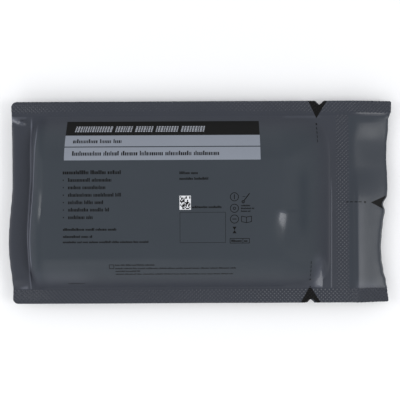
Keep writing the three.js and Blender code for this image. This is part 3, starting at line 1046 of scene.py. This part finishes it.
# Where words are printed there are rows of plain blocks in groups, no letter among them. Each row
# has a foot, a height, the width of its blocks as a share of that, and a lean.
Row = namedtuple("Row", "start end foot height weight lean")
header_rows = [Row(-96.8, 3.0, 54.2, 4.9, 0.26, 0.22)]
listed_feet = ((-67.5, 15.9), (-69.0, 10.3), (-59.6, 4.6), (-74.0, -1.0), (-69.5, -6.6), (-81.6, -12.3))
listed_rows = [Row(-100.4, end, foot, 2.8, 0.24, 0) for end, foot in listed_feet]
dark_rows = [
    Row(-97.2, -59.5, 45.2, 3.6, 0.24, 0), Row(-97.4, 15.0, 35.6, 3.6, 0.24, 0),
    Row(-104.4, -58.2, 21.6, 2.9, 0.34, 0),
    *listed_rows,
    Row(-104.4, -63.9, -21.1, 1.9, 0.36, 0), Row(-104.4, -81.7, -26.5, 1.9, 0.36, 0),
    Row(-104.5, -39.4, -30.5, 1.6, 0.28, 0),
    Row(-16.1, 0.1, 21.3, 2.0, 0.28, 0), Row(-16.1, 6.9, 17.0, 2.0, 0.28, 0),
    Row(-6.8, 15.9, -4.4, 1.7, 0.34, 0),
    Row(-65.4, -34.3, -48.0, 1.3, 0.28, 0), Row(-65.4, 26.4, -50.7, 1.3, 0.28, 0),
    Row(-65.4, -46.7, -53.0, 1.3, 0.28, 0), Row(-65.4, 24.3, -55.4, 1.3, 0.28, 0),
    Row(-103.0, -90.0, -63.1, 1.0, 0.24, 0),
    Row(30.3, 38.8, -3.2, 1.2, 0.28, 0), Row(30.3, 40.1, -5.3, 1.2, 0.28, 0),
    Row(30.3, 37.6, -7.4, 1.2, 0.28, 0),
    Row(22.9, 30.8, -30.1, 1.7, 0.3, 0), Row(32.6, 35.8, -30.1, 1.7, 0.3, 0),
]
blocks_to_group = (6, 18)
low_block = 0.7
lean_steps = 4
block_space, group_space = 0.15, 0.4


def blocks_of(rows, seed):
    """The blocks of each row, as the places of their middles and their sizes."""
    pick = np.random.default_rng(seed)
    blocks = []
    for row in rows:
        steps = lean_steps if row.lean else 1
        at = row.start
        while at < row.end - row.height:
            for _ in range(pick.integers(*blocks_to_group)):
                width = row.height * row.weight * pick.uniform(0.6, 1.3)
                if at + width > row.end:
                    break
                tall = row.height * (1 if row.lean else pick.choice((low_block, low_block, low_block, 1)))
                for step in range(steps):
                    rise = tall * (step + 0.5) / steps
                    blocks.append((at + width / 2 + row.lean * rise, row.foot + rise, width, tall / steps))
                at += width + row.height * block_space
            at += row.height * group_space
    return blocks


def block_tree():
    """Geometry nodes that set a thin block on each point, by the attributes size and tilt."""
    tree = FormTree("blocks", {"Thickness": ink_thickness})
    sides = {"X": 1.0, "Y": 1.0, "Z": tree.given.out("Thickness")}
    size = tree.node("ShaderNodeCombineXYZ", None, sides).out(0)
    block = tree.node("GeometryNodeMeshCube", None, {"Size": size})
    tilt = {"Vector": tree.attribute("tilt", "FLOAT_VECTOR")}
    turn = tree.node("FunctionNodeAlignRotationToVector", {"axis": "Z"}, tilt)
    sockets = {
        "Points": tree.given.out("Geometry"),
        "Instance": block.out(0),
        "Rotation": turn.out(0),
        "Scale": tree.attribute("size", "FLOAT_VECTOR"),
    }
    return tree.give(tree.node("GeometryNodeInstanceOnPoints", None, sockets))


blocks_group = block_tree()


def print_blocks(name, blocks, lift, material):
    """Blocks of ink at places in plan, each on the film and square to it."""
    table = np.array(blocks)
    px, py = table[:, 0], table[:, 1]
    step = 0.5
    slope_x = (web_top(px + step, py) - web_top(px - step, py)) / (2 * step)
    slope_y = (web_top(px, py + step) - web_top(px, py - step)) / (2 * step)
    points = np.column_stack([px, py, web_top(px, py) + lift])
    mesh = bpy.data.meshes.new(name)
    mesh.from_pydata((points * MM).tolist(), [], [])
    size = np.column_stack([table[:, 2:4] * MM, np.ones(len(table))])
    tilt = np.column_stack([-slope_x, -slope_y, np.ones(len(table))])
    for key, values in (("size", size), ("tilt", tilt)):
        mesh.attributes.new(key, "FLOAT_VECTOR", "POINT").data.foreach_set("vector", values.ravel())
    made = add_object(name, mesh)
    run_tree(made, blocks_group, {"Material": material})
    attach(made, "root")


print_blocks("header_marks", blocks_of(header_rows, 3), mark_lift, silver_ink)
bullet_x, bullet_rise, bullet = -104.0, 1.2, 0.8
dash_length, dash_width, dash_pitch = 2.2, 0.6, 3.3
marks = blocks_of(dark_rows, 8)
marks += [(bullet_x, row.foot + bullet_rise, bullet, bullet) for row in listed_rows]
marks += [(90.4, 60.5, 1.1, 1.5), (84.5, -60.3, 1.1, 1.5), (128.1, -0.5, 1.5, 1.1)]
marks += [(90.4, y, dash_width, dash_length) for y in np.arange(57.0, 44.5, -dash_pitch)]
marks += [(84.3, y, dash_width, dash_length) for y in np.arange(-56.5, -45.0, dash_pitch)]
marks += [(x, -0.3, dash_length, dash_width) for x in np.arange(114.2, 127.0, dash_pitch)]
print_blocks("dark_marks", marks, mark_lift, black_ink)

# The square code is a white patch with a chance pattern of cells, which no reader can read.
code_left, code_right, code_top, code_bottom = -16.2, -7.6, 5.0, -5.6
code_columns, code_rows = 9, 11
cell = 0.87
code_patch = box_outline(code_left, code_right, code_top, code_bottom)
ink_layer("code_patch", [code_patch], ink_lift, white_ink)
pick = np.random.default_rng(21)
first_x = (code_left + code_right) / 2 - (code_columns - 1) / 2 * cell
first_y = (code_top + code_bottom) / 2 - (code_rows - 1) / 2 * cell
cells = [
    (first_x + i * cell, first_y + j * cell, cell, cell)
    for i in range(code_columns)
    for j in range(code_rows)
    if pick.random() < 0.5
]
print_blocks("code_cells", cells, mark_lift, black_ink)

# The flat sizes that the front and back stretches of film were cut to before they were folded, filled
# and sealed. The seals and the ink are on the front one; each of the four stretches lies on the
# bandage, the table or its neighbour.
rise_over_pack, rise_under_pack = 12, 8
front_flat = (web_width * MM, (web_length + rise_over_pack) * MM)
back_flat = (web_width * MM, (web_length + rise_under_pack) * MM)
web_width * MM
web_width * MM
